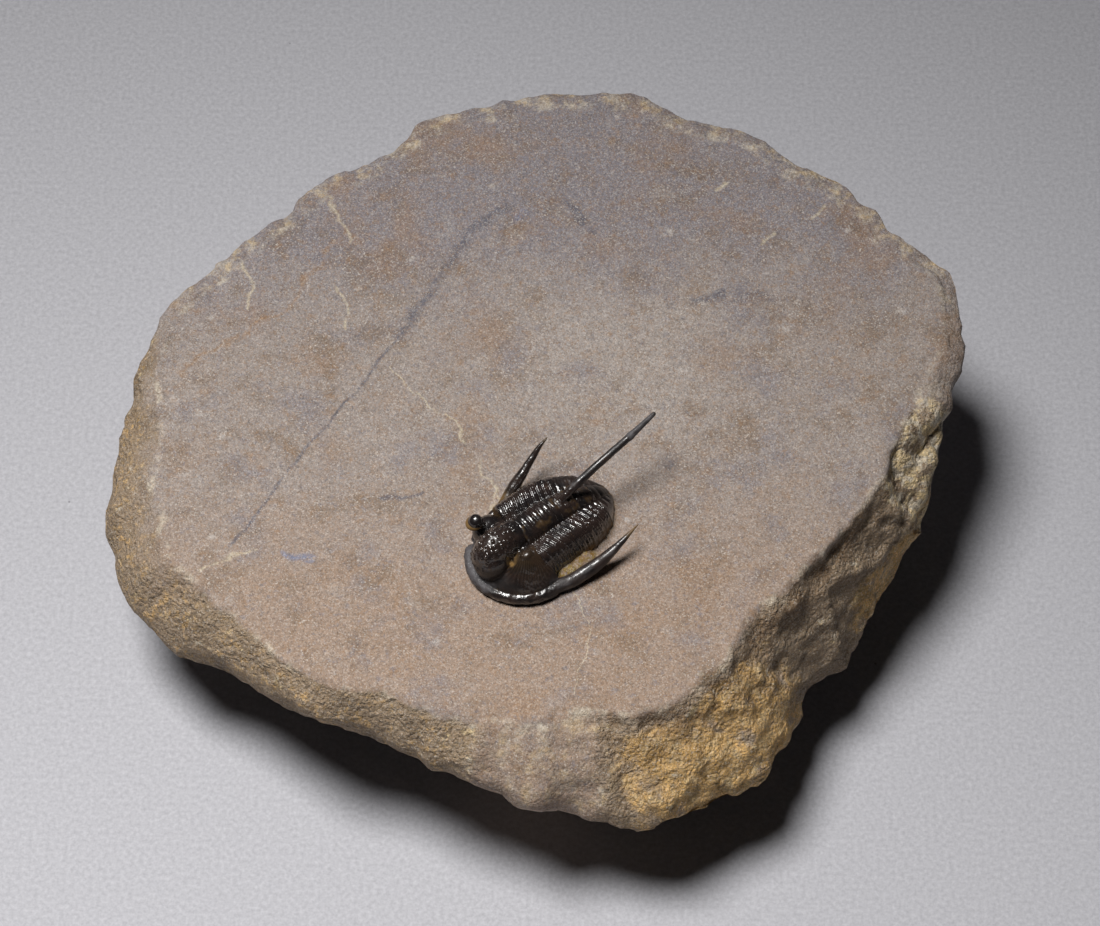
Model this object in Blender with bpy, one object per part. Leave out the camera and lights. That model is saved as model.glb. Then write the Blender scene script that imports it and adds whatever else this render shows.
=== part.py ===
# A Cyphaspis trilobite standing free on the loose block of limestone that it was prepared from.
# Metres, +Z up, origin under the middle of the block, on the table. Sizes below are in millimetres.
import math

import bmesh
import bpy
import numpy as np
from mathutils import Matrix, Vector, noise

MM = 0.001
PIECE_GAP = 0.3

# The block: a flat top that rises a little to the right and to the back
TOP_HEIGHT = 22.46
TOP_SLOPE_X = 0.035
TOP_SLOPE_Y = 0.040
BLOCK_SHIFT = (-0.163, 0.0)
FOOT_SHARE = 0.80
FOOT_SWING = 0.06
FOOT_SWING_TOWARDS = 60.0
AROUND = 112
TOP_RINGS = (0.25, 0.5, 0.75, 0.92)
WALL_RINGS = (0.3, 0.65)
UNDERCUT_RINGS = (0.3, 0.65)
WALL_BULGE = 0.12
TOP_ROUGHNESS = 0.3
WALL_ROUGHNESS = 0.9
UNDERCUT_ROUGHNESS = 2.2
ROUGH_PATCH = 7.0
FINE_NOISE_SHARE = 0.5
FINE_NOISE_SCALE = 2.3

# The outline of the block seen from above, one line for each place where it turns: direction from the
# middle in degrees, reach of the widest line, height of that line, and how far the top edge stands back
OUTLINE = (
    (-180, 47.0, 17.0, 3.5),
    (-172, 48.5, 15.5, 4.7),
    (-164, 49.0, 14.0, 6.0),
    (-156, 48.5, 13.0, 5.8),
    (-149, 47.0, 12.5, 4.5),
    (-142, 43.5, 13.0, 1.5),
    (-135, 42.5, 14.0, 0.2),
    (-126, 42.0, 15.0, 0.2),
    (-118, 40.0, 14.5, 0.2),
    (-110, 40.0, 14.5, 0.2),
    (-101, 41.5, 13.5, 0.2),
    (-92, 42.7, 12.5, 0.3),
    (-84, 43.0, 11.5, 5.0),
    (-77, 45.0, 10.5, 8.3),
    (-69, 46.2, 10.0, 9.8),
    (-60, 45.3, 9.0, 9.3),
    (-52, 43.5, 8.0, 8.6),
    (-43, 40.5, 7.5, 5.5),
    (-33, 40.5, 7.7, 5.0),
    (-22, 42.0, 9.0, 4.5),
    (-12, 43.7, 12.0, 3.7),
    (-3, 45.5, 17.5, 3.2),
    (6, 47.5, 21.5, 2.8),
    (15, 50.0, 23.0, 2.4),
    (22, 50.5, 24.0, 3.0),
    (29, 47.5, 24.0, 3.0),
    (37, 46.2, 24.0, 2.4),
    (41, 47.2, 24.0, 4.0),
    (47, 44.6, 24.0, 2.8),
    (55, 45.5, 23.5, 3.0),
    (64, 43.8, 23.0, 2.8),
    (72, 44.6, 23.0, 3.0),
    (84, 44.2, 23.0, 3.0),
    (97, 42.6, 23.0, 3.0),
    (108, 42.2, 22.5, 3.2),
    (115, 39.3, 22.5, 2.0),
    (127, 40.5, 22.0, 2.8),
    (139, 40.0, 21.5, 2.2),
    (149, 42.4, 21.0, 2.5),
    (158, 44.3, 20.8, 2.2),
    (168, 45.4, 20.0, 2.2),
    (174, 46.0, 19.0, 2.4),
)

# Where the animal lies: a point under its neck on the top of the block, and the way its tail points.
# From there p runs back to the tail, q across to its right side, and z up off the rock.
ANIMAL_PLACE = (-2.28, -17.26)
ANIMAL_HEADING = 39.1
LEAN = 0.12

# Head shield: the border is half an ellipse that runs on into the two cheek spines
BORDER_MIDDLE_P = 1.2
BORDER_LENGTH = 6.0
BORDER_WIDTH_LEFT = 5.9
BORDER_WIDTH_RIGHT = 5.15
BORDER_HEIGHT = 0.85
BORDER_RADIUS = 0.52
BORDER_STEPS = 16
SHIELD_BACK = 1.8
SHIELD_EDGE_HEIGHT = 1.0
SHIELD_CROWN = 2.2
SHIELD_INNER = 0.82
SHIELD_RINGS = 7
SHIELD_COLUMNS = 24

# Cheek spines behind the border: p, distance out, height and radius
LEFT_SPINE = (
    (3.0, -6.50, 1.20, 0.60),
    (5.0, -6.75, 1.50, 0.62),
    (6.6, -6.90, 1.90, 0.60),
    (8.2, -6.95, 2.40, 0.48),
    (10.0, -6.90, 2.90, 0.28),
    (11.5, -6.80, 3.40, 0.10),
)
RIGHT_SPINE = (
    (2.5, 5.95, 1.15, 0.52),
    (4.0, 6.70, 1.75, 0.58),
    (5.5, 7.10, 2.40, 0.60),
    (7.2, 7.40, 3.10, 0.48),
    (9.2, 7.50, 3.95, 0.30),
    (10.9, 7.35, 4.70, 0.10),
)

# Lumps that stand on the head shield: middle, then half sizes along p, q and z
GLABELLA = ((-1.95, 0.75, 3.80), (2.85, 2.25, 2.40))
NECK_RING = ((0.95, 0.72, 3.45), (0.75, 2.05, 1.85))
LEFT_CHEEK = ((-0.80, -3.30, 2.60), (2.50, 2.40, 2.25))
RIGHT_CHEEK = ((-0.40, 3.70, 2.45), (2.15, 1.75, 2.10))
LEFT_EYE = ((-0.75, -3.00, 4.45), (0.85, 0.80, 0.75))
RIGHT_EYE = ((-1.70, 4.20, 4.95), (0.80, 0.80, 0.75))
EYE_STALK_FOOT = (-0.90, 3.75, 3.30)
EYE_STALK_RADIUS = 0.42

# Trunk and tail: p, half width, height of the middle lobe, height of the side lobes, half width of the
# middle lobe, distance out to the crest of the side lobes, and how far the body swings to its right
BODY = (
    (2.0, 5.00, 5.20, 4.10, 1.75, 2.95, 0.0),
    (5.0, 5.00, 5.00, 3.95, 1.65, 2.85, 0.0),
    (7.4, 4.75, 4.55, 3.45, 1.50, 2.75, -0.1),
    (9.0, 4.40, 3.95, 2.95, 1.35, 2.55, -0.3),
    (10.8, 3.50, 3.10, 2.30, 1.15, 2.10, -0.45),
    (12.2, 2.15, 1.95, 1.50, 0.80, 1.30, -0.5),
    (13.0, 0.85, 1.00, 0.85, 0.35, 0.50, -0.5),
)
TRUNK_START = 2.15
TRUNK_END = 10.75
TRUNK_SEGMENTS = 12
TAIL_START = 11.05
TAIL_END = 12.85
TAIL_RIBS = 3
RIB_RISE = 0.16
RIB_DIP = 0.14
RIB_FADE = 0.6
FURROW_DEPTH = 0.55
BODY_COLUMNS = 22
BODY_EDGE_HEIGHT = 0.75

# Long spine on the back, with the kink where it was mended: p, q, height and radius
BACK_SPINE = (
    (7.3, 0.45, 4.00, 0.50),
    (8.3, 0.45, 4.95, 0.47),
    (10.5, 0.45, 5.70, 0.46),
    (13.5, 0.45, 6.45, 0.44),
    (17.2, 0.45, 7.25, 0.38),
    (20.6, 0.45, 8.35, 0.26),
)
TUBE_SIDES = 8
TUBE_TIP = 0.6
LUMP_SEGMENTS = 16
LUMP_RINGS = 10

STONE_COLOR = (0.33, 0.27, 0.23)
STONE_ROUGHNESS = 0.85
SHELL_COLOR = (0.025, 0.017, 0.014)
SHELL_ROUGHNESS = 0.22


def clear_scene():
    """Take every object out of the file's scene."""
    for thing in list(bpy.data.objects):
        bpy.data.objects.remove(thing, do_unlink=True)


def make_material(name, color, roughness):
    """One Principled material with a colour and a roughness."""
    material = bpy.data.materials.new(name)
    material.use_nodes = True
    shader = material.node_tree.nodes["Principled BSDF"]
    shader.inputs["Base Color"].default_value = (*color, 1.0)
    shader.inputs["Roughness"].default_value = roughness
    shader.inputs["Metallic"].default_value = 0.0
    material.diffuse_color = (*color, 1.0)
    return material


def make_object(name, vertices, faces, material):
    """A mesh object from points in millimetres, with its faces turned to point out."""
    mesh = bpy.data.meshes.new(name)
    mesh.from_pydata([Vector(v) * MM for v in vertices], [], faces)
    shape = bmesh.new()
    shape.from_mesh(mesh)
    bmesh.ops.recalc_face_normals(shape, faces=shape.faces)
    shape.to_mesh(mesh)
    shape.free()
    mesh.materials.append(material)
    thing = bpy.data.objects.new(name, mesh)
    bpy.context.scene.collection.objects.link(thing)
    return thing


def join_rings(rings, closed):
    """Quads between rings of point numbers that follow each other."""
    faces = []
    for first, second in zip(rings, rings[1:]):
        count = len(first)
        steps = count if closed else count - 1
        for i in range(steps):
            j = (i + 1) % count
            faces.append((first[i], first[j], second[j], second[i]))
    return faces


def top_height(x, y):
    """Height of the block's top plane over a point."""
    return TOP_HEIGHT + TOP_SLOPE_X * x + TOP_SLOPE_Y * y


def block_ring(turns, reaches, heights, roughness):
    """One ring of points around the block, each pushed in or out by smooth noise."""
    ring = []
    for turn, reach, height in zip(turns, reaches, heights):
        ahead = Vector((math.cos(turn), math.sin(turn), 0.0))
        place = (ahead * reach + Vector((0.0, 0.0, height))) / ROUGH_PATCH
        push = roughness * (noise.noise(place) + FINE_NOISE_SHARE * noise.noise(place * FINE_NOISE_SCALE))
        x, y, _ = ahead * (reach + push)
        ring.append((x + BLOCK_SHIFT[0], y + BLOCK_SHIFT[1], height))
    return ring


def top_ring(turns, reaches, roughness):
    """One ring of points on the block's top plane."""
    heights = top_height(reaches * np.cos(turns), reaches * np.sin(turns))
    return block_ring(turns, reaches, heights, roughness)


def build_block(material):
    """The loose stone: flat top, broken sides, undercut below the widest line, flat underside."""
    degrees = np.arange(AROUND) * 360.0 / AROUND - 180.0
    turns = np.radians(degrees)
    table = np.array(OUTLINE)
    wide, wide_height, bevel = [np.interp(degrees, table[:, 0], table[:, k], period=360.0) for k in (1, 2, 3)]
    edge = wide - bevel
    edge_height = top_height(edge * np.cos(turns), edge * np.sin(turns))
    foot = wide * (FOOT_SHARE + FOOT_SWING * np.cos(turns - math.radians(FOOT_SWING_TOWARDS)))

    rings = [top_ring(turns, edge * share, 0.0) for share in TOP_RINGS]
    rings.append(top_ring(turns, edge, TOP_ROUGHNESS))
    for share in WALL_RINGS:
        reach = edge + bevel * (share + WALL_BULGE * math.sin(math.pi * share))
        height = edge_height + (wide_height - edge_height) * share
        rings.append(block_ring(turns, reach, height, WALL_ROUGHNESS))
    rings.append(block_ring(turns, wide, wide_height, TOP_ROUGHNESS))
    for share in UNDERCUT_RINGS:
        reach = wide + (foot - wide) * math.sin(share * math.pi / 2)
        rings.append(block_ring(turns, reach, wide_height * (1.0 - share), UNDERCUT_ROUGHNESS))
    rings.append(block_ring(turns, foot, foot * 0.0, UNDERCUT_ROUGHNESS))

    vertices = [point for ring in rings for point in ring]
    numbers = [list(range(k * AROUND, (k + 1) * AROUND)) for k in range(len(rings))]
    faces = join_rings(numbers, closed=True)
    middle = len(vertices)
    vertices.append((BLOCK_SHIFT[0], BLOCK_SHIFT[1], TOP_HEIGHT))
    faces += [(numbers[0][i], numbers[0][(i + 1) % AROUND], middle) for i in range(AROUND)]
    faces.append(tuple(numbers[-1]))
    return make_object("matrix_stone", vertices, faces, material)


def make_tube(name, route, material):
    """A closed tube along points that each carry a radius, rounded off at both ends."""
    points = [Vector(step[:3]) for step in route]
    radii = [step[3] for step in route]
    vertices = []
    rings = []
    for i, (point, radius) in enumerate(zip(points, radii)):
        ahead = (points[min(i + 1, len(points) - 1)] - points[max(i - 1, 0)]).normalized()
        side = ahead.cross(Vector((0.0, 0.0, 1.0))).normalized()
        up = side.cross(ahead).normalized()
        ring = []
        for k in range(TUBE_SIDES):
            turn = 2.0 * math.pi * k / TUBE_SIDES
            ring.append(len(vertices))
            vertices.append(point + (side * math.cos(turn) + up * math.sin(turn)) * radius)
        rings.append(ring)
    faces = join_rings(rings, closed=True)
    for ring, point, beyond in ((rings[0], points[0], points[1]), (rings[-1], points[-1], points[-2])):
        tip = len(vertices)
        radius = (vertices[ring[0]] - point).length
        vertices.append(point + (point - beyond).normalized() * radius * TUBE_TIP)
        faces += [(ring[i], ring[(i + 1) % TUBE_SIDES], tip) for i in range(TUBE_SIDES)]
    return make_object(name, vertices, faces, material)


def make_lump(name, middle, half, material):
    """An egg-shaped lump: a sphere stretched to its half sizes."""
    mesh = bpy.data.meshes.new(name)
    shape = bmesh.new()
    bmesh.ops.create_uvsphere(shape, u_segments=LUMP_SEGMENTS, v_segments=LUMP_RINGS, radius=1.0)
    size = Matrix.Diagonal((*[value * MM for value in half], 1.0))
    shape.transform(Matrix.Translation(Vector(middle) * MM) @ size)
    shape.to_mesh(mesh)
    shape.free()
    mesh.materials.append(material)
    thing = bpy.data.objects.new(name, mesh)
    bpy.context.scene.collection.objects.link(thing)
    return thing


def add_shape(target, helper):
    """Grow the helper's shape onto the target, and keep the helper out of the picture."""
    join = target.modifiers.new("join " + helper.name, "BOOLEAN")
    join.operation = "UNION"
    join.solver = "EXACT"
    join.object = helper
    helper.hide_render = True
    helper.display_type = "WIRE"
    helper.parent = target


def border_point(turn, share):
    """A point of the head's outline, p and q, drawn in towards the middle by a share of one."""
    width = BORDER_WIDTH_RIGHT if math.sin(turn) > 0.0 else BORDER_WIDTH_LEFT
    return BORDER_MIDDLE_P + BORDER_LENGTH * math.cos(turn) * share, width * math.sin(turn) * share


def build_shield(material):
    """The low dome between the border and the back edge of the head."""
    vertices = []
    rings = []
    for r in range(SHIELD_RINGS):
        share = 1.0 - SHIELD_INNER * r / (SHIELD_RINGS - 1)
        height = SHIELD_EDGE_HEIGHT + SHIELD_CROWN * math.sqrt(1.0 - share ** 2)
        right = border_point(math.pi / 2, share)[1]
        left = border_point(-math.pi / 2, share)[1]
        line = [(SHIELD_BACK, right)]
        line += [border_point(math.pi * (0.5 + c / SHIELD_COLUMNS), share) for c in range(SHIELD_COLUMNS + 1)]
        line.append((SHIELD_BACK, left))
        rings.append(list(range(len(vertices), len(vertices) + len(line))))
        vertices += [(p, q, height) for p, q in line]
    floor = list(range(len(vertices), len(vertices) + len(rings[0])))
    vertices += [(vertices[k][0], vertices[k][1], PIECE_GAP) for k in rings[0]]
    faces = join_rings([floor] + rings, closed=True)
    faces.append(tuple(rings[-1]))
    faces.append(tuple(floor))
    return make_object("cephalon", vertices, faces, material)


def border_route():
    """The border and both cheek spines as one route from the left tip round the front to the right tip."""
    route = list(reversed(LEFT_SPINE))
    for k in range(BORDER_STEPS + 1):
        p, q = border_point(math.pi * (1.5 - k / BORDER_STEPS), 1.0)
        route.append((p, q, BORDER_HEIGHT, BORDER_RADIUS))
    return route + list(RIGHT_SPINE)


def build_cephalon(material):
    """Head shield with its border, cheek spines, glabella, cheeks, eyes and neck ring in one body."""
    head = build_shield(material)
    add_shape(head, make_tube("border_and_spines", border_route(), material))
    stalk = [(*EYE_STALK_FOOT, EYE_STALK_RADIUS), (*RIGHT_EYE[0], EYE_STALK_RADIUS)]
    lumps = (
        ("glabella", GLABELLA),
        ("neck_ring", NECK_RING),
        ("left_cheek", LEFT_CHEEK),
        ("right_cheek", RIGHT_CHEEK),
        ("left_eye", LEFT_EYE),
    )
    for name, (middle, half) in lumps:
        add_shape(head, make_lump(name, middle, half, material))
    add_shape(head, make_tube("eye_stalk", stalk, material))
    add_shape(head, make_lump("right_eye", *RIGHT_EYE, material))
    return head


def body_section(p):
    """The columns of the body's table at one place along it."""
    table = np.array(BODY)
    return [float(np.interp(p, table[:, 0], table[:, k])) for k in range(1, table.shape[1])]


def body_height(section, out):
    """Height of the back: an arched middle lobe, a furrow, and side lobes that bend down to the edge."""
    half, middle_top, side_top, lobe, crest, _ = section
    furrow = side_top - FURROW_DEPTH
    if out <= lobe:
        return furrow + (middle_top - furrow) * math.sqrt(1.0 - (out / lobe) ** 2)
    if out <= crest:
        share = (out - lobe) / (crest - lobe)
        return furrow + FURROW_DEPTH * math.sin(share * math.pi / 2)
    share = min(1.0, (out - crest) / (half - crest))
    return BODY_EDGE_HEIGHT + (side_top - BODY_EDGE_HEIGHT) * math.sqrt(1.0 - share ** 2)


def build_plates(name, start, end, ribs, material):
    """A run of the back between two places, with a low rib across it for each segment."""
    rows = 2 * ribs + 1
    vertices = []
    outline = []
    grid = []
    for r in range(rows):
        p = start + (end - start) * r / (rows - 1)
        section = body_section(p)
        half, swing = section[0], section[-1]
        step = RIB_RISE if r % 2 else -RIB_DIP
        line = []
        for c in range(BODY_COLUMNS + 1):
            across = math.sin(math.pi / 2 * (2.0 * c / BODY_COLUMNS - 1.0))
            z = body_height(section, half * abs(across)) + step * (1.0 - RIB_FADE * abs(across))
            line.append(len(vertices))
            vertices.append((p, swing + half * across + LEAN * z, z))
            outline.append((p, swing + half * across, PIECE_GAP))
        grid.append(line)
    rim = grid[0] + [line[-1] for line in grid[1:-1]] + grid[-1][::-1] + [line[0] for line in grid[-2:0:-1]]
    floor = list(range(len(vertices), len(vertices) + len(rim)))
    vertices += [outline[k] for k in rim]
    faces = join_rings(grid, closed=False) + join_rings([rim, floor], closed=True)
    faces.append(tuple(floor))
    return make_object(name, vertices, faces, material)


def build_thorax(material):
    """Twelve trunk segments in one body, with the long spine on the back."""
    trunk = build_plates("thorax", TRUNK_START, TRUNK_END, TRUNK_SEGMENTS, material)
    add_shape(trunk, make_tube("back_spine", BACK_SPINE, material))
    return trunk


def animal_frame():
    """An empty on the block's top, turned along the animal and tipped with the top plane."""
    x, y = ANIMAL_PLACE
    up = Vector((-TOP_SLOPE_X, -TOP_SLOPE_Y, 1.0)).normalized()
    heading = math.radians(ANIMAL_HEADING)
    ahead = Vector((math.cos(heading), math.sin(heading), 0.0))
    ahead = (ahead - up * ahead.dot(up)).normalized()
    across = up.cross(ahead)
    turn = Matrix((ahead, across, up)).transposed()
    frame = bpy.data.objects.new("animal_frame", None)
    frame.location = Vector((x, y, top_height(x, y))) * MM
    frame.rotation_euler = turn.to_euler()
    frame.empty_display_size = 0.005
    bpy.context.scene.collection.objects.link(frame)
    return frame


def main():
    """Build the block and the animal's three plates."""
    clear_scene()
    stone = make_material("brown-grey limestone", STONE_COLOR, STONE_ROUGHNESS)
    shell = make_material("black-brown calcite shell", SHELL_COLOR, SHELL_ROUGHNESS)
    build_block(stone)
    frame = animal_frame()
    plates = [
        build_cephalon(shell),
        build_thorax(shell),
        build_plates("pygidium", TAIL_START, TAIL_END, TAIL_RIBS, shell),
    ]
    for plate in plates:
        plate.parent = frame


main()
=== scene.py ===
import math

import bpy
import numpy as np
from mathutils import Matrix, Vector


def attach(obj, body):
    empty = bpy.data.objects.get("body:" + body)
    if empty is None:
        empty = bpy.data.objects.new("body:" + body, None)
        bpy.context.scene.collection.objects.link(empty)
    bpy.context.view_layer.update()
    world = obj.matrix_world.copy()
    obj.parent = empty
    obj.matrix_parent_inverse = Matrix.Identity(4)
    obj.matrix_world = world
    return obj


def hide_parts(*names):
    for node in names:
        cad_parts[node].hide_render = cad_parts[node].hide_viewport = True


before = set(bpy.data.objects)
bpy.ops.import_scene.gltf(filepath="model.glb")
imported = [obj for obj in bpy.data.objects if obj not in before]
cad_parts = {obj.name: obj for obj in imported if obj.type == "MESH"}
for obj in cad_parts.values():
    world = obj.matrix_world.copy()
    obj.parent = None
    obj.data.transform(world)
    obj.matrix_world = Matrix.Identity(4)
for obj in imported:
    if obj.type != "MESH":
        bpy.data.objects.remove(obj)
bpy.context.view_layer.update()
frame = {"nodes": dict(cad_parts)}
print("frame loaded:", ", ".join(frame["nodes"]))

mm = 0.001


# Small tools shared by every piece

def hexToLinear(code):
    # sRGB hex to the linear colour that the shader wants
    parts = [int(code[i:i + 2], 16) / 255 for i in (1, 3, 5)]
    return tuple(c / 12.92 if c <= 0.04045 else ((c + 0.055) / 1.055) ** 2.4 for c in parts) + (1.0,)


def addNode(tree, kind, settings=None, **links):
    # adds a node, sets its properties and sockets, and links sockets named by their label or number
    node = tree.nodes.new("ShaderNode" + kind)
    for name, value in (settings or {}).items():
        setattr(node, name, value)
    for name, value in links.items():
        key = int(name[1:]) if name[0] == "i" and name[1:].isdigit() else name.replace("_", " ")
        socket = node.inputs[key]
        if isinstance(value, bpy.types.NodeSocket):
            tree.links.new(value, socket)
        else:
            socket.default_value = value
    return node


def smoothStep(low, high, value):
    # 0 at low and 1 at high with an easy curve between; low may be the larger of the two
    t = np.clip((value - low) / (high - low), 0.0, 1.0)
    return t * t * (3.0 - 2.0 * t)


def between(start, full, until, end, value):
    # rises from 0 at start to 1 at full, and falls from 1 at until to 0 at end
    return smoothStep(start, full, value) * smoothStep(end, until, value)


def unit(vectors):
    # each vector divided by its length
    return vectors / np.maximum(np.linalg.norm(vectors, axis=-1, keepdims=True), 1e-12)


def latticeValue(cell, seed):
    # a repeatable number from 0 to 1 for each whole-numbered place in space
    c = cell.astype(np.int64)
    h = (c[..., 0] * 73856093) ^ (c[..., 1] * 19349663) ^ (c[..., 2] * 83492791) ^ (seed * 2654435761)
    h &= 0xFFFFFFFF
    h = ((h ^ (h >> 16)) * 0x45D9F3B) & 0xFFFFFFFF
    h = ((h ^ (h >> 16)) * 0x45D9F3B) & 0xFFFFFFFF
    return ((h ^ (h >> 16)) & 0xFFFFFFFF) / 4294967295.0


def softNoise(points, size, seed=0):
    # lattice values blended smoothly between the corners of cubes of the given size, from -1 to 1
    p = points / size
    base = np.floor(p)
    f = p - base
    f = f * f * f * (f * (f * 6 - 15) + 10)
    total = 0.0
    for dx in (0, 1):
        for dy in (0, 1):
            for dz in (0, 1):
                weight = np.abs(1 - dx - f[..., 0]) * np.abs(1 - dy - f[..., 1]) * np.abs(1 - dz - f[..., 2])
                total = total + weight * latticeValue(base + (dx, dy, dz), seed)
    return total * 2.0 - 1.0


def layeredNoise(points, size, layers, seed=0):
    # softNoise added up, each layer half the size and half the strength of the one before
    total = 0.0
    for k in range(layers):
        total = total + softNoise(points, size / 2 ** k, seed + 17 * k) * 0.5 ** k
    return total


def nearestGrain(points, size, seed=0):
    # distance to the nearest of one random point per cube, and the numbers of the cube that it is in
    p = points / size
    base = np.floor(p)
    best = np.full(p.shape[:-1], 9.0)
    owner = np.zeros(p.shape)
    for dx in (-1, 0, 1):
        for dy in (-1, 0, 1):
            for dz in (-1, 0, 1):
                cell = base + (dx, dy, dz)
                spot = cell + np.stack([latticeValue(cell, seed + k) for k in (1, 2, 3)], -1)
                distance = np.linalg.norm(p - spot, axis=-1)
                closer = distance < best
                best = np.where(closer, distance, best)
                owner = np.where(closer[..., None], cell, owner)
    return best * size, owner


def scooped(points, size, seed=0):
    # shell-shaped breaks: hollow bowls of about the given size that meet in sharp ridges, from 0 in a
    # bowl's bottom to about half on a ridge
    bend = np.stack([softNoise(points, size * 0.8, seed + k) for k in (51, 52, 53)], -1)
    distance, owner = nearestGrain(points + 0.22 * size * bend, size, seed)
    return (distance / size) ** 2 + 0.25 * (latticeValue(owner, seed + 14) - 0.5)


def gridFaces(rows, columns, wrap):
    # quads of a grid of points, the last column joined to the first when it wraps
    r, c = np.meshgrid(np.arange(rows - 1), np.arange(columns if wrap else columns - 1), indexing="ij")
    d = (c + 1) % columns
    quads = np.stack([r * columns + c, r * columns + d, (r + 1) * columns + d, (r + 1) * columns + c], -1)
    return quads.reshape(-1, 4)


def closeEnds(grid):
    # a grid of rings as points and faces, each end ring closed by a fan to its middle
    rows, columns, _ = grid.shape
    points = np.concatenate([grid.reshape(-1, 3), grid[0].mean(0)[None], grid[-1].mean(0)[None]])
    quads = gridFaces(rows, columns, True)
    ring = np.arange(columns)
    after = (ring + 1) % columns
    first = np.stack([after, ring, np.full(columns, rows * columns)], -1)
    base = (rows - 1) * columns
    last = np.stack([base + ring, base + after, np.full(columns, rows * columns + 1)], -1)
    return points, quads, np.concatenate([first, last])


def makeMesh(name, points, quads, triangles=()):
    # numpy points in metres and faces into a mesh object, smooth shaded
    mesh = bpy.data.meshes.new(name)
    triangles = np.asarray(triangles, int).reshape(-1, 3)
    corners = np.concatenate([quads.ravel(), triangles.ravel()]).astype(np.int32)
    counts = np.concatenate([np.full(len(quads), 4), np.full(len(triangles), 3)]).astype(np.int32)
    mesh.vertices.add(len(points))
    mesh.vertices.foreach_set("co", np.ascontiguousarray(points, np.float32).ravel())
    mesh.loops.add(len(corners))
    mesh.loops.foreach_set("vertex_index", corners)
    mesh.polygons.add(len(counts))
    mesh.polygons.foreach_set("loop_start", (np.cumsum(counts) - counts).astype(np.int32))
    mesh.update(calc_edges=True)
    mesh.validate()
    mesh.shade_smooth()
    thing = bpy.data.objects.new(name, mesh)
    bpy.context.scene.collection.objects.link(thing)
    return thing


def paint(thing, name, values):
    # one number per point that the material reads by name
    layer = thing.data.attributes.new(name, "FLOAT", "POINT")
    layer.data.foreach_set("value", np.asarray(values, np.float32).ravel())


# The stone block

stoneSizes = {
    "topHeight": 22.46,  # mm over the middle of the block
    "topSlopeX": 0.035,
    "topSlopeY": 0.040,
    "around": 590,  # points round the block
    "nearRows": 26,  # rings of points under and round the animal
    "nearRadius": 12.0,
    "farRows": 34,
    "wallRows": 62,
    "undercutRows": 34,
    "footRows": 4,
    "footShare": 0.80,
    "footSwing": 0.06,
    "footSwingTowards": 60.0,
    "wallBulge": 0.12,
    "ringMiddle": 3.5,  # how far behind the animal's neck the rings of points have their middle
    "raggedReach": 0.42,
    "raggedBevel": 0.15,  # share of the bevel
    "raggedFoot": 1.2,
}

# direction from the middle in degrees, reach of the widest line, its height, how far the top edge stands
# back, how much the side rounds over (1 = an even slope, 3 = over the edge and then upright)
stoneOutline = np.array([
    (-180, 47.0, 17.0, 4.2, 1.3), (-172, 48.5, 15.5, 5.0, 1.3), (-164, 49.0, 14.0, 6.0, 1.3),
    (-156, 48.5, 13.0, 5.8, 1.3), (-149, 47.0, 12.5, 4.8, 1.6), (-142, 43.5, 13.0, 3.2, 2.4),
    (-135, 42.5, 14.0, 2.6, 3.0), (-126, 42.0, 15.0, 2.4, 3.2), (-118, 40.0, 14.5, 2.6, 3.2),
    (-110, 39.8, 14.5, 2.8, 3.0), (-101, 41.3, 14.0, 4.2, 2.6), (-92, 43.4, 14.2, 7.2, 2.2),
    (-84, 43.9, 13.2, 9.0, 1.9), (-77, 45.9, 12.2, 10.0, 1.6), (-69, 47.2, 12.0, 11.2, 1.4),
    (-60, 46.4, 11.0, 10.8, 1.4), (-52, 44.6, 10.0, 9.9, 1.4), (-43, 41.2, 9.0, 6.6, 1.5),
    (-33, 40.7, 8.2, 5.4, 1.6), (-22, 42.0, 9.0, 4.8, 1.8), (-12, 43.7, 12.6, 4.6, 2.0),
    (-3, 45.5, 18.2, 4.6, 1.9), (6, 47.5, 21.5, 3.0, 1.9), (15, 50.0, 23.0, 2.0, 1.8),
    (22, 50.5, 24.0, 2.2, 1.6), (29, 47.5, 24.0, 2.2, 1.6), (37, 46.2, 24.0, 1.8, 1.6),
    (41, 47.2, 24.0, 2.8, 1.6), (47, 44.6, 24.0, 2.0, 1.6), (55, 45.5, 23.5, 2.2, 1.6),
    (64, 43.8, 23.0, 2.0, 1.6), (72, 44.6, 23.0, 2.2, 1.6), (84, 44.2, 23.0, 2.2, 1.6),
    (97, 42.6, 23.0, 2.2, 1.6), (108, 42.2, 22.5, 2.4, 1.6), (115, 39.3, 22.5, 1.7, 1.6),
    (127, 40.5, 22.0, 2.2, 1.6), (139, 40.0, 21.5, 1.8, 1.6), (149, 42.4, 21.0, 2.1, 1.5),
    (158, 44.3, 20.8, 2.0, 1.4), (168, 45.4, 20.0, 2.2, 1.4), (174, 46.0, 19.0, 2.8, 1.3),
])

# Where the animal lies on the stone: p runs back to its tail, q to its right side, z up off the rock
animalPlace = {"x": -2.28, "y": -17.26, "heading": 39.1, "lean": 0.12}


def stoneTop(x, y):
    # a plane: the height over the middle, and a slope along x and along y
    return stoneSizes["topHeight"] + stoneSizes["topSlopeX"] * x + stoneSizes["topSlopeY"] * y


def animalAxes():
    # foot point and the three axes of the animal's own frame, in millimetres
    up = unit(np.array([-stoneSizes["topSlopeX"], -stoneSizes["topSlopeY"], 1.0]))
    turn = math.radians(animalPlace["heading"])
    ahead = np.array([math.cos(turn), math.sin(turn), 0.0])
    ahead = unit(ahead - up * (ahead @ up))
    foot = np.array([animalPlace["x"], animalPlace["y"], stoneTop(animalPlace["x"], animalPlace["y"])])
    return foot, np.stack([ahead, np.cross(up, ahead), up])


animalFoot, animalTurn = animalAxes()


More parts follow.
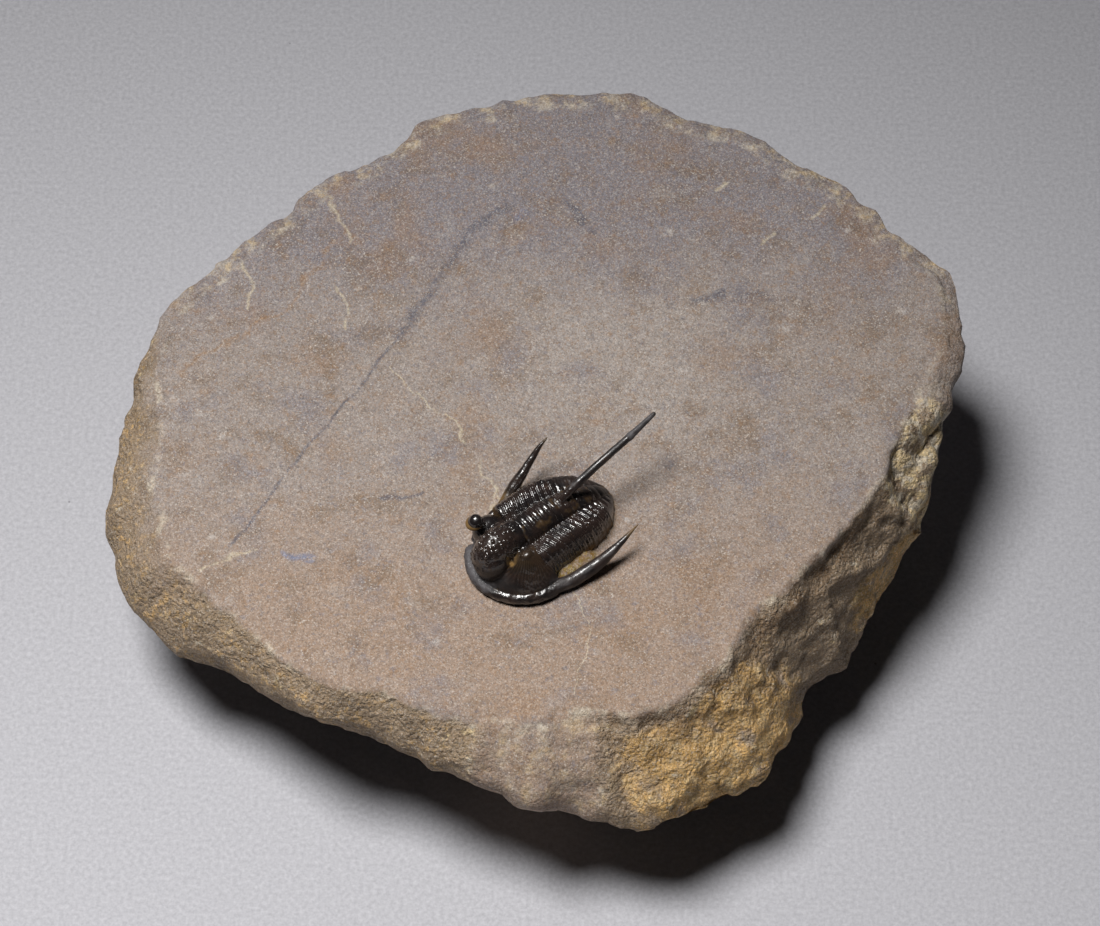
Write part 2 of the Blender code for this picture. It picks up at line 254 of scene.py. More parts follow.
def toWorld(points):
    # p, q, z in millimetres turned and moved to their place on the stone, in metres
    return (animalFoot + points @ animalTurn) * mm


def toAnimal(points):
    # points in millimetres in the stone's frame, as p, q, z
    return (points - animalFoot) @ animalTurn.T


# Trunk and tail: p, half width, height of the middle lobe, height of the side lobes, half width of the
# middle lobe, distance out to the crest of the side lobes, swing of the body to its right
bodyTable = np.array([
    (2.0, 5.00, 5.15, 4.20, 1.80, 3.45, 0.0),
    (5.0, 5.00, 4.95, 4.05, 1.70, 3.40, 0.0),
    (7.4, 4.80, 4.45, 3.60, 1.55, 3.20, -0.1),
    (9.0, 4.45, 3.85, 3.10, 1.35, 2.85, -0.3),
    (10.8, 3.55, 3.00, 2.45, 1.10, 2.25, -0.45),
    (12.2, 2.15, 1.95, 1.50, 0.80, 1.30, -0.5),
    (13.0, 0.85, 1.00, 0.85, 0.35, 0.50, -0.5),
])


def bodyColumn(p, k):
    # one column of the body table, read on straight lines between its rows
    return np.interp(p, bodyTable[:, 0], bodyTable[:, k])


def restOfMatrix(p, q):
    # rock left round the animal: a sandy shoulder between the trunk and the cheek spines that falls
    # away from the flank, and a thin foot of rock round the tail
    out = np.abs(q - bodyColumn(p, 6)) - bodyColumn(p, 1)
    shoulder = between(1.6, 2.6, 5.8, 8.2, p) * smoothStep(2.1, 0.2, out) * 1.15
    tailFoot = between(7.0, 8.5, 12.6, 13.9, p) * smoothStep(0.9, 0.0, out) * 0.35
    return np.maximum(shoulder, tailFoot) * smoothStep(14.0, 13.0, p)


def outlineAround(count):
    # directions at equal steps along the widest line, so that facets have one size all round
    dense = np.radians(np.linspace(-180, 180, 3601))
    reach = np.interp(np.degrees(dense), stoneOutline[:, 0], stoneOutline[:, 1], period=360)
    line = np.stack([reach * np.cos(dense), reach * np.sin(dense)], -1)
    walked = np.concatenate([[0], np.cumsum(np.linalg.norm(np.diff(line, axis=0), axis=1))])
    return np.interp(np.arange(count) / count * walked[-1], walked, dense)


def rounded(values, width):
    # evens out a closed run of values over a few neighbours
    steps = np.arange(-3 * width, 3 * width + 1)
    weights = np.exp(-0.5 * (steps / width) ** 2)
    weights /= weights.sum()
    return sum(w * np.roll(values, s) for s, w in zip(steps, weights))


def stoneGrid():
    # rings of points from the animal's place out over the top, down the broken wall to the widest line,
    # in under it to the foot, and flat across the underside
    s = stoneSizes
    turns = outlineAround(s["around"])
    degrees = np.degrees(turns)
    columns = [np.interp(degrees, stoneOutline[:, 0], stoneOutline[:, k], period=360) for k in (1, 2, 3, 4)]
    wide, wideHeight, bevel, roundness = [rounded(c, 2) for c in columns]
    way = np.stack([np.cos(turns), np.sin(turns)], -1)
    rim = np.concatenate([way * 45, np.zeros((len(way), 1))], -1)
    wide = wide + s["raggedReach"] * layeredNoise(rim, 4.0, 3, 5)
    bevel = bevel * (1 + s["raggedBevel"] * layeredNoise(rim, 9.0, 4, 9))
    edge = way * (wide - bevel)[:, None]
    middle = animalFoot[:2] + animalTurn[0, :2] * s["ringMiddle"]

    rows = []
    span = np.linalg.norm(edge - middle, axis=1)
    towards = unit(edge - middle)
    near = [np.full(len(span), r) for r in np.linspace(0, s["nearRadius"], s["nearRows"] + 1)[1:]]
    # the rings further out crowd towards the edge
    eased = 1 - (1 - np.arange(1, s["farRows"] + 1) / s["farRows"]) ** 1.7
    for reach in near + [s["nearRadius"] + (span - s["nearRadius"]) * t for t in eased]:
        flat = middle + towards * reach[:, None]
        rows.append(np.concatenate([flat, stoneTop(flat[:, 0], flat[:, 1])[:, None]], 1))
    edgeHeight = rows[-1][:, 2]
    for t in np.arange(1, s["wallRows"] + 1) / s["wallRows"]:
        reach = wide - bevel * ((1 - t) ** roundness - s["wallBulge"] * math.sin(math.pi * t))
        height = edgeHeight + (wideHeight - edgeHeight) * t
        rows.append(np.concatenate([way * reach[:, None], height[:, None]], 1))
    foot = wide * (s["footShare"] + s["footSwing"] * np.cos(turns - math.radians(s["footSwingTowards"])))
    foot = foot + s["raggedFoot"] * layeredNoise(rim, 12.0, 2, 21)
    for t in np.arange(1, s["undercutRows"] + 1) / s["undercutRows"]:
        reach = wide + (foot - wide) * math.sin(t * math.pi / 2)
        rows.append(np.concatenate([way * reach[:, None], (wideHeight * (1 - t))[:, None]], 1))
    for t in np.arange(1, s["footRows"] + 1) / (s["footRows"] + 1):
        rows.append(np.concatenate([way * (foot * (1 - t))[:, None], np.zeros((len(way), 1))], 1))
    return np.stack(rows), degrees


def gridNormals(grid):
    # the way each point of a grid of rings faces, from its neighbours along and across
    along = np.gradient(grid, axis=0)
    across = np.roll(grid, -1, 1) - np.roll(grid, 1, 1)
    return unit(np.cross(along, across))


def roundShoulder(grid, topRows, share):
    # evens out each column where the top turns into the side, so that the worn edge rolls over
    reach = between(topRows - 9, topRows - 4, topRows + 10, topRows + 22, np.arange(len(grid)))
    for _ in range(26):
        even = grid.copy()
        even[1:-1] = (grid[:-2] + 2 * grid[1:-1] + grid[2:]) / 4
        grid = grid + (even - grid) * reach[:, None, None] * share[None, :, None]
    return grid


# heights and widths of the relief in mm; a bowl's or knob's height is that of its whole pattern
stoneRelief = {
    "waveHeight": 0.28, "waveWidth": 22.0,
    "dimpleHeight": 0.08, "dimpleWidth": 4.5,
    "edgeWear": 0.30,
    "bowlHeight": 2.2, "bowlWidth": 9.0,
    "smallBowlHeight": 0.75, "smallBowlWidth": 3.4,
    "crumbHeight": 0.20, "crumbWidth": 2.6,
    "knobHeight": 1.44, "knobWidth": 3.0,
}


def buildStone():
    # the grid of rings, each point pushed along its normal: by slow waves on top, by chips on the sides
    s, r = stoneSizes, stoneRelief
    grid, degrees = stoneGrid()
    topRows = s["nearRows"] + s["farRows"]
    wallEnd = topRows + s["wallRows"]
    fracture = between(-88, -76, -12, 2, degrees)
    grid = roundShoulder(grid, topRows, 1 - 0.75 * fracture)
    row = np.arange(len(grid))[:, None] * np.ones((1, s["around"]))
    down = np.clip((row - topRows) / s["wallRows"], 0, 1)
    wallShare = smoothStep(topRows - 5, topRows + 7, row)
    footShare = smoothStep(wallEnd + s["undercutRows"] - 9, wallEnd + s["undercutRows"] - 1, row)
    underShare = smoothStep(wallEnd - 2, wallEnd + 6, row)

    normals = gridNormals(grid)
    near = toAnimal(grid)
    clear = smoothStep(9.0, 14.0, np.hypot(near[..., 0] - 4.0, near[..., 1]))

    # the prepared top: slow waves, faint dimples and tool marks, flat under the animal
    waves = r["waveHeight"] * layeredNoise(grid, r["waveWidth"], 2, 31) * clear
    dimples = r["dimpleHeight"] * layeredNoise(grid, r["dimpleWidth"], 3, 37)
    dimples = dimples + 0.014 * softNoise(grid, 0.9, 39)
    outerTop = smoothStep(topRows - 16, topRows - 1, row)
    dimples = dimples - r["edgeWear"] * outerTop * smoothStep(0.1, 0.5, layeredNoise(grid, 5.0, 3, 97))
    # the broken sides: large and small bowls with sharp ridges, and crumbs between them
    strength = 0.36 + 0.58 * fracture + 0.45 * underShare
    bowls = r["bowlHeight"] * (scooped(grid, r["bowlWidth"], 43) - 0.25)
    bowls = bowls + r["smallBowlHeight"] * (scooped(grid, r["smallBowlWidth"], 47) - 0.25)
    crumbs = r["crumbHeight"] * layeredNoise(grid, r["crumbWidth"], 4, 53)
    chips = bowls * strength + crumbs * (0.8 + 0.5 * fracture)
    # on the near right the break starts with a small riser below the top and then slopes out
    depth = 0.30 + 0.75 * softNoise(grid, 6.0, 57) + 0.3 * softNoise(grid, 2.0, 58) \
        + 0.20 * smoothStep(-48, -38, degrees)
    chips = chips - between(0.0, 0.08, 0.2, 0.8, down) * np.maximum(0.0, depth) * fracture
    # round knobs where the right edge is freshly chipped
    knobs = between(-19, -12, 0, 6, degrees) * between(0.0, 0.1, 0.7, 1.0, down)
    chips = chips + r["knobHeight"] * knobs * (0.5 - scooped(grid, r["knobWidth"], 113))
    push = (waves + dimples) * (1 - wallShare) + chips * wallShare * (1 - 0.9 * footShare)
    push = push * (row < wallEnd + s["undercutRows"] - 1)
    grid = grid + normals * push[..., None]
    shoulder = restOfMatrix(near[..., 0], near[..., 1]) * (1 - wallShare)
    grid[..., 2] += shoulder * (1 + 0.18 * layeredNoise(grid, 0.8, 2, 59))
    grid[..., 2] = np.maximum(grid[..., 2], 0.0)

    points, quads, triangles = closeEnds(grid)
    stone = makeMesh("stoneBlock", points * mm, quads[:, ::-1], triangles[:, ::-1])
    # ochre stain: thick on the slope in front, a band along the outer rim on the right
    gold = between(-94, -64, -56, -32, degrees) * smoothStep(0.02, 0.16, down)
    gold = gold + 0.75 * between(-36, -26, -10, 0, degrees) * smoothStep(0.3, 0.6, down)
    # painted shade: a darker brown band just under the near right edge, where the small riser is turned from
    # the light
    edgeShade = fracture * between(0.0, 0.03, 0.10, 0.34, down)
    # golden flecks on the left and the lower left, fresh pale breaks where the right edge is chipped
    leftSide = smoothStep(-98, -106, degrees) + smoothStep(158, 172, degrees)
    fleck = leftSide * smoothStep(-0.02, 0.12, down) * wallShare
    paleFar = 0.5 * between(-104, -98, -84, -74, degrees) + 0.8 * between(10, 24, 150, 165, degrees)
    pale = between(-17, -10, 0, 7, degrees) * smoothStep(0.0, 0.06, down)
    pale = pale + paleFar * smoothStep(0.0, 0.1, down)
    # how far the side differs from the top in colour: hardly at all at the back and on the front shelf,
    # where it is as worn, and little by little on the left
    back = between(-4, 8, 160, 172, degrees)
    shelf = between(-104, -96, -84, -76, degrees)
    left = smoothStep(150, 165, degrees) + smoothStep(-146, -156, degrees)
    side = wallShare * (1 - np.maximum(back, shelf) * smoothStep(1.3, 0.9, down))
    side = side * (1 - left * smoothStep(0.7, 0.1, down) * 0.6)
    for name, values in (("wallShare", wallShare), ("underShare", underShare), ("goldShare", gold),
                         ("sideShare", side), ("fleckShare", fleck), ("paleShare", pale), ("edgeShadeShare", edgeShade),
                         ("sandyShare", smoothStep(0.15, 0.6, shoulder))):
        paint(stone, name, np.concatenate([values.ravel(), np.zeros(2)]))
    return stone


stoneBlock = buildStone()
print("stone block:", len(stoneBlock.data.polygons), "faces")


# The animal's plates

headSizes = {
    "borderMiddle": 1.2,
    "borderLength": 6.0,
    "borderLeft": 5.9,
    "borderRight": 5.15,
    "borderHeight": 0.62,
    "borderRadius": 0.68,
    "borderDip": 0.69,  # where the border dives into the rock, in half turns from its right end's side
    "shieldBack": 1.85,
    "shieldCrown": 2.85,
    "voxel": 0.071,  # width of a cell of the fused skin, in mm
    "granuleSpacing": 0.46,
    "granuleHeight": 0.13,
    "fanRidges": 46,  # in a whole turn
    "fanHeight": 0.030,
}

# cheek spines behind the border: p, distance out, height, radius
leftSpine = np.array([
    (3.0, -6.45, 0.72, 0.80), (4.8, -6.75, 0.98, 0.80), (6.5, -6.95, 1.40, 0.70),
    (8.3, -7.05, 2.00, 0.52), (10.3, -7.00, 2.75, 0.29), (12.1, -6.90, 3.40, 0.06),
])
rightSpine = np.array([
    (3.0, 5.45, 1.00, 0.66), (4.7, 6.05, 1.70, 0.68), (6.3, 6.45, 2.40, 0.60),
    (7.9, 6.85, 3.10, 0.46), (9.5, 7.22, 3.95, 0.31), (10.9, 7.35, 4.70, 0.07),
])

# lumps on the head: middle, then half sizes along p, q and z
headLumps = {
    "glabella": ((-1.60, 0.72, 3.45), (3.20, 2.10, 2.70)),
    "glabellaFront": ((-2.55, 0.25, 2.70), (2.30, 2.05, 2.50)),
    "glabellaBack": ((0.30, 0.72, 3.50), (2.30, 1.90, 2.05)),
    "rightBasalLobe": ((0.05, 2.45, 3.40), (0.95, 0.75, 0.95)),
    "leftBasalLobe": ((0.75, -1.00, 3.20), (0.80, 0.70, 0.90)),
    "rightCheek": ((-0.60, 3.70, 2.30), (1.80, 1.50, 1.70)),
    "leftEye": ((0.10, -2.50, 4.34), (0.84, 0.70, 0.74)),
    "rightEye": ((-1.70, 4.20, 4.95), (0.82, 0.80, 0.76)),
    "rightEyeCup": ((-1.90, 4.25, 4.68), (0.98, 0.94, 0.54)),
}
# cheek mounds on the shield under each eye: p, q, height, half sizes along p and q
cheekMounds = ((0.00, -2.95, 1.85, 1.90, 1.70), (-0.30, 3.40, 1.10, 1.70, 1.30))
eyeStalk = np.array([(-0.90, 3.75, 3.30, 0.50), (-1.30, 3.98, 4.10, 0.40), (-1.70, 4.20, 4.95, 0.45)])

trunkSizes = {
    "start": 1.24, "end": 10.86, "segments": 13, "rib": 0.27, "sweep": 0.27,
    "edgeHeight": 0.55, "furrow": 0.46, "floor": -0.35, "voxel": 0.072, "grainSpacing": 0.42,
    "grainHeight": 0.075,
}
tailSizes = {"start": 10.92, "end": 12.95, "ribs": 3, "rib": 0.08, "floor": -0.35}

# long spine on the back, with the kink where it was mended: p, q, height, radius
backSpine = np.array([
    (7.2, 0.45, 3.90, 0.55), (7.7, 0.45, 4.55, 0.50), (8.6, 0.45, 5.05, 0.47), (10.5, 0.45, 5.68, 0.46),
    (13.5, 0.45, 6.45, 0.44), (16.9, 0.45, 7.18, 0.40), (17.4, 0.45, 7.32, 0.40), (20.5, 0.45, 8.33, 0.25),
])


def eggSurface(middle, half, rings=40, around=64):
    # a sphere's rings of latitude and turns of longitude, stretched to the half sizes
    v = (np.arange(rings) + 0.5) / rings * np.pi
    u = np.arange(around) / around * 2 * np.pi
    grid = np.stack([np.sin(v)[:, None] * np.cos(u), np.sin(v)[:, None] * np.sin(u),
                     np.cos(v)[:, None] * np.ones_like(u)], -1)
    return closeEnds(grid * half + middle)


def smoothRoute(route, steps):
    # a curve through all the route's points, with the slope at each from its two neighbours
    t = np.linspace(0, len(route) - 1, steps)
    i = np.clip(t.astype(int), 0, len(route) - 2)
    f = (t - i)[:, None]
    padded = np.concatenate([2 * route[:1] - route[1:2], route, 2 * route[-1:] - route[-2:-1]])
    a, b, c, d = padded[i], padded[i + 1], padded[i + 2], padded[i + 3]
    square = 2 * a - 5 * b + 4 * c - d
    cube = 3 * b - a - 3 * c + d
    return 0.5 * (2 * b + (c - a) * f + square * f ** 2 + cube * f ** 3)


def tubeSurface(route, steps=160, around=28):
    # a circle carried along a smooth route, its radius from the route's last column, with round ends
    path = smoothRoute(route, steps)
    centre, radius = path[:, :3], path[:, 3:]
    ahead = unit(np.gradient(centre, axis=0))
    side = unit(np.cross(ahead, (0.0, 0.0, 1.0)))
    up = np.cross(side, ahead)
    turn = np.arange(around) / around * 2 * np.pi
    capTurn = np.linspace(0.15, 1.0, 6)[:, None] * np.pi / 2
    first = centre[0] - ahead[0] * radius[0] * np.cos(capTurn)
    last = (centre[-1] + ahead[-1] * radius[-1] * np.cos(capTurn))[::-1]
    centre = np.concatenate([first, centre, last])
    radius = np.concatenate([radius[0] * np.sin(capTurn), radius, (radius[-1] * np.sin(capTurn))[::-1]])
    side = np.concatenate([np.repeat(side[:1], 6, 0), side, np.repeat(side[-1:], 6, 0)])
    up = np.concatenate([np.repeat(up[:1], 6, 0), up, np.repeat(up[-1:], 6, 0)])
    around = side[:, None] * np.cos(turn)[:, None] + up[:, None] * np.sin(turn)[:, None]
    return closeEnds(centre[:, None] + radius[:, None] * around)


def borderLine(turn, share=1.0):
    # half an ellipse round the front of the head, a little narrower on its right side
    h = headSizes
    width = np.where(np.sin(turn) > 0, h["borderRight"], h["borderLeft"])
    return h["borderMiddle"] + h["borderLength"] * np.cos(turn) * share, width * np.sin(turn) * share


def borderRoute():
    # from the tip of the left spine round the front ellipse, with one dip into the rock, to the right tip
    h = headSizes
    turn = np.linspace(1.5, 0.5, 41)
    p, q = borderLine(turn * np.pi)
    height = h["borderHeight"] - 1.3 * np.exp(-((turn - h["borderDip"]) / 0.055) ** 4)
    radius = h["borderRadius"] + 0.12 * smoothStep(1.25, 1.45, turn)
    front = np.stack([p, q, height, radius], -1)
    return np.concatenate([leftSpine[::-1], front, rightSpine])


def shieldSurface():
    # the dome inside the border: rings of the border's outline drawn in and up, straight across the
    # back; the first two go straight up from the rock and have a height of their own
    h = headSizes
    turn = np.linspace(0.5, 1.5, 90) * np.pi
    rings = []
    for share, height in [(1.0, -0.35), (1.0, 0.3)] + [(c, None) for c in np.cos(np.linspace(0, 1.45, 26))]:
        p, q = borderLine(turn, share)
        rise = 0.55 + h["shieldCrown"] * math.sqrt(max(0.0, 1 - share ** 2)) if height is None else height
        p = np.concatenate([p, [h["shieldBack"]] * 2])
        q = np.concatenate([q, [q[-1], q[0]]])
        rise = np.full(len(p), rise)
        if height is None:
            for midP, midQ, top, halfP, halfQ in cheekMounds:
                rise = rise + top * np.exp(-(((p - midP) / halfP) ** 2 + ((q - midQ) / halfQ) ** 2))
        rings.append(np.stack([p, q, rise], -1))
    return closeEnds(np.stack(rings))


def segmentPhase(p, out, lobe):
    # how far through its segment a place is; the side ribs sweep back as they go out
    t = trunkSizes
    swept = p - t["sweep"] * np.maximum(0.0, out - lobe) ** 1.15
    return ((swept - t["start"]) / (t["end"] - t["start"]) * t["segments"]) % 1.0


def loafSurface(start, end, rows, relief, floor, edgeHeight):
    # the back as a loaf: an arched middle lobe, a furrow each side, side lobes that bend down to the
    # edge, ribs added by the relief function, closed underneath by a flat floor
    p = np.linspace(start, end, rows)[:, None]
    across = np.sin(np.linspace(-1, 1, 190) * np.pi / 2)[None]
    half, middleTop, sideTop, lobe, crest, swing = [bodyColumn(p, k) for k in range(1, 7)]
    out = half * np.abs(across)
    furrow = sideTop - trunkSizes["furrow"] * (1 - 0.95 * smoothStep(6.8, 9.2, p))
    middle = furrow + (middleTop - furrow) * np.sqrt(np.clip(1 - (out / lobe) ** 2, 0, 1))
    inner = furrow + (sideTop - furrow) * np.sin(np.clip((out - lobe) / (crest - lobe), 0, 1) * np.pi / 2)
    share = np.clip((out - crest) / (half - crest), 0, 1)
    outer = edgeHeight + (sideTop - edgeHeight) * np.clip(1 - share ** 2.5, 0, 1) ** 0.45
    z = np.where(out <= lobe, middle, np.where(out <= crest, inner, outer))
    push = relief(p, out, lobe, crest, half, across)
    sideways = half * across * np.ones_like(z)
    facing = unit(np.stack([np.zeros_like(z), -np.gradient(z, axis=1), np.gradient(sideways, axis=1)], -1))
    grid = np.stack([p * np.ones_like(z), swing + half * across, z], -1) + facing * push[..., None]
    grid[..., 1] += animalPlace["lean"] * grid[..., 2]
    under = np.linspace(1, -1, 24)[None, :] * np.ones_like(p)
    base = np.stack([p * np.ones_like(under), swing + half * under, np.full_like(under, floor)], -1)
    return closeEnds(np.concatenate([grid, base], 1))


def trunkRelief(p, out, lobe, crest, half, across):
    # each segment is a rounded band with a sharp groove before the next; on the side lobes it carries
    # two steps that rise towards the rear, and the relief fades towards the edge and the rear
    t = trunkSizes
    phase = segmentPhase(p, out, lobe)
    single = np.sin(np.pi * phase) ** 0.55
    step = (2 * phase) % 1.0
    double = 0.60 * np.sin(np.pi * phase) ** 0.45 + 0.45 * step * smoothStep(1.0, 0.80, step)
    side = smoothStep(lobe, lobe * 1.35, out)
    band = single * (1 - side) + double * side
    fade = (1 - 0.35 * smoothStep(crest, half, out)) * (1 - 0.8 * smoothStep(7.4, 9.2, p) * (1 - side))
    fade = fade * (1 - 0.85 * smoothStep(7.2, 9.0, p) * smoothStep(0.0, 0.3, across) * side)
    return t["rib"] * (band - 0.65) * fade * (1 + 0.25 * side)


def tailRelief(p, out, lobe, crest, half, across):
    # ribs that die out towards a smooth border
    t = tailSizes
    phase = ((p - 0.25 * np.maximum(0, out - lobe) - t["start"]) / (t["end"] - t["start"]) * t["ribs"]) % 1.0
    fade = smoothStep(half * 0.85, half * 0.55, out) * smoothStep(t["end"] - 0.2, t["end"] - 0.9, p)
    return t["rib"] * (np.sin(np.pi * phase) ** 0.6 - 0.4) * fade


def joinSurfaces(surfaces):
    # several surfaces as one list, each one's face numbers moved on past the points before it
    points, quads, triangles, start = [], [], [], 0
    for surface in surfaces:
        points.append(surface[0])
        quads.append(surface[1] + start)
        triangles.append(surface[2] + start)
        start += len(surface[0])
    return np.concatenate(points), np.concatenate(quads), np.concatenate(triangles)


def fuseSurfaces(name, surfaces, voxel, smoothing):
    # grows closed surfaces that overlap into one skin, by a voxel remesh of them drawn with ten
    # millimetres to the metre, and evens out its steps; gives back points in millimetres and quads
    enlarge = 0.1
    points, quads, triangles = joinSurfaces(surfaces)
    rough = makeMesh(name + "Rough", points * enlarge, quads, triangles)
    remesh = rough.modifiers.new("fuse", "REMESH")
    remesh.mode = "VOXEL"
    remesh.voxel_size = voxel * enlarge
    even = rough.modifiers.new("even", "SMOOTH")
    even.factor = 0.5
    even.iterations = smoothing
    mesh = rough.evaluated_get(bpy.context.evaluated_depsgraph_get()).to_mesh()
    skin = np.empty(len(mesh.vertices) * 3, np.float32)
    mesh.vertices.foreach_get("co", skin)
    faces = np.empty(len(mesh.loops), np.int32)
    mesh.loops.foreach_get("vertex_index", faces)
    bpy.data.objects.remove(rough, do_unlink=True)
    return skin.reshape(-1, 3).astype(float) / enlarge, faces.reshape(-1, 4)


def skinNormals(points, quads):
    # the way each point faces: the crossed diagonals of the quads round it, added up
    a, b = points[quads[:, 2]] - points[quads[:, 0]], points[quads[:, 3]] - points[quads[:, 1]]
    facing = np.cross(a, b)
    total = np.zeros_like(points)
    for k in range(4):
        np.add.at(total, quads[:, k], facing)
    return unit(total)


def neighbourMean(values, quads):
    # each point's value replaced by the mean of those at the other ends of its edges
    total = np.zeros_like(values)
    count = np.zeros(len(values))
    for k in range(4):
        for other in (quads[:, (k + 1) % 4], quads[:, (k - 1) % 4]):
            np.add.at(total, quads[:, k], values[other])
            np.add.at(count, quads[:, k], 1)
    return total / (count if values.ndim == 1 else count[:, None])


def hollowness(points, quads, rounds=3):
    # how far each point lies below the mean of its neighbours: above zero in hollows, below on crests
    normals = skinNormals(points, quads)
    even = points
    for _ in range(rounds):
        even = neighbourMean(even, quads)
    return ((even - points) * normals).sum(1)


def eggDistance(points, lump):
    # 1 on the lump's surface, less inside, more outside
    middle, half = headLumps[lump]
    return np.linalg.norm((points - middle) / half, axis=1)


def buildHead():
    # dome, border, eye stalk and lumps fused, each point pushed along its normal by the fine relief
    h = headSizes
    surfaces = [shieldSurface(), tubeSurface(borderRoute(), 520), tubeSurface(eyeStalk, 30)]
    surfaces += [eggSurface(np.array(middle), np.array(half)) for middle, half in headLumps.values()]
    points, quads = fuseSurfaces("head", surfaces, h["voxel"], 7)
    normals = skinNormals(points, quads)
    p, q, z = points.T
    # granules on the glabella and, lower, on the neck ring; fine ridges that fan out from the left eye
    # down its cheek; fine unevenness everywhere
    distance, owner = nearestGrain(points, h["granuleSpacing"], 61)
    size = 0.7 + 0.6 * latticeValue(owner, 67)
    granule = np.clip(1 - (distance / (0.20 * size)) ** 2, 0, 1) * size
    onGlabella = smoothStep(1.14, 1.06, eggDistance(points, "glabella")) * smoothStep(2.4, 3.4, z)
    onNeck = smoothStep(1.2, 1.08, eggDistance(points, "glabellaBack")) * 0.5 * smoothStep(3.0, 4.0, z)
    fanTurn = np.arctan2(q + 2.2, p - 0.6)
    fanOut = np.hypot(q + 2.2, p - 0.6)
    fan = np.sin(fanTurn * h["fanRidges"] + 2.5 * softNoise(points, 1.2, 63)) \
        * between(0.9, 1.4, 2.9, 3.6, fanOut) * (q < -1.6) * smoothStep(0.9, 1.3, z)
    onBorder = smoothStep(1.7, 1.2, z) * smoothStep(3.0, 1.0, p)
    push = h["granuleHeight"] * granule * np.maximum(onGlabella, onNeck) + h["fanHeight"] * fan
    push = push + (0.028 + 0.05 * onBorder) * layeredNoise(points, 0.7, 3, 71)
    points = points + normals * push[:, None]
    head = makeMesh("headShield", toWorld(points), quads)
    paint(head, "hollow", hollowness(points, quads))
    # dull grey where the border is worn in front and in streaks on the near spine; the grey is also a painted
    # sheen, standing in for the broad sheen on the border and the streaked sheen on the spine
    width = np.where(q > 0, h["borderRight"], h["borderLeft"])
    rim = smoothStep(0.86, 0.92, np.hypot((p - h["borderMiddle"]) / h["borderLength"], q / width))
    matteBorder = smoothStep(-1.2, -2.6, p) * smoothStep(-3.0, -0.8, q) * smoothStep(1.9, 1.4, z) * rim
    tips = smoothStep(9.8, 11.2, p)
    streaky = softNoise(points * (0.5, 1.5, 1.5), 0.5, 85)
    nearSpine = smoothStep(-4.2, -5.4, q) * smoothStep(-2.0, 1.5, p) * (0.36 + 0.30 * streaky)
    # dull without turning grey: the low front of the glabella, and a little all along the border
    dullFront = 0.34 * smoothStep(-2.0, -3.0, p) * between(1.3, 1.8, 3.5, 4.3, z)
    dullRim = 0.10 * rim * smoothStep(1.9, 1.4, z)
    wearAndSheen = matteBorder * (0.80 + 0.35 * streaky) + nearSpine + dullFront + dullRim
    paint(head, "wearAndSheen", np.clip(wearAndSheen, 0, 1))
    # ochre dust in the furrow beside the glabella, on the far eye's rim, the tips and the far spine's base,
    # and a little ochre-brown on the upper near cheek that is painted light on its lit top
    along = np.clip(((p + 0.3) * -0.96 + (q + 1.5) * -0.27) / 1.1, 0, 1)
    furrowGap = np.hypot(p + 0.3 + along * 1.06, q + 1.5 + along * 0.3)
    dirt = smoothStep(0.62, 0.22, furrowGap) * smoothStep(4.4, 3.5, z)
    eyeRim = smoothStep(1.05, 1.12, eggDistance(points, "rightEye")) \
        * smoothStep(1.16, 1.08, eggDistance(points, "rightEyeCup")) * smoothStep(4.2, 4.5, z)
    # painted light: the upper part of the near cheek is tinted lighter brown where its top is lit
    cheek = smoothStep(3.6, 1.2, fanOut) * smoothStep(-1.3, -1.9, q) * smoothStep(1.5, 2.4, z)
    stain = dirt * (0.6 + 0.9 * softNoise(points, 0.4, 75)) + 0.75 * eyeRim + 0.6 * tips + 0.08 * cheek
    farBase = np.exp(-(((p - 3.2) / 0.6) ** 2 + ((q - 6.2) / 0.6) ** 2)) * 0.7
    paint(head, "ochre", np.clip(stain + farBase, 0, 1))
    return head


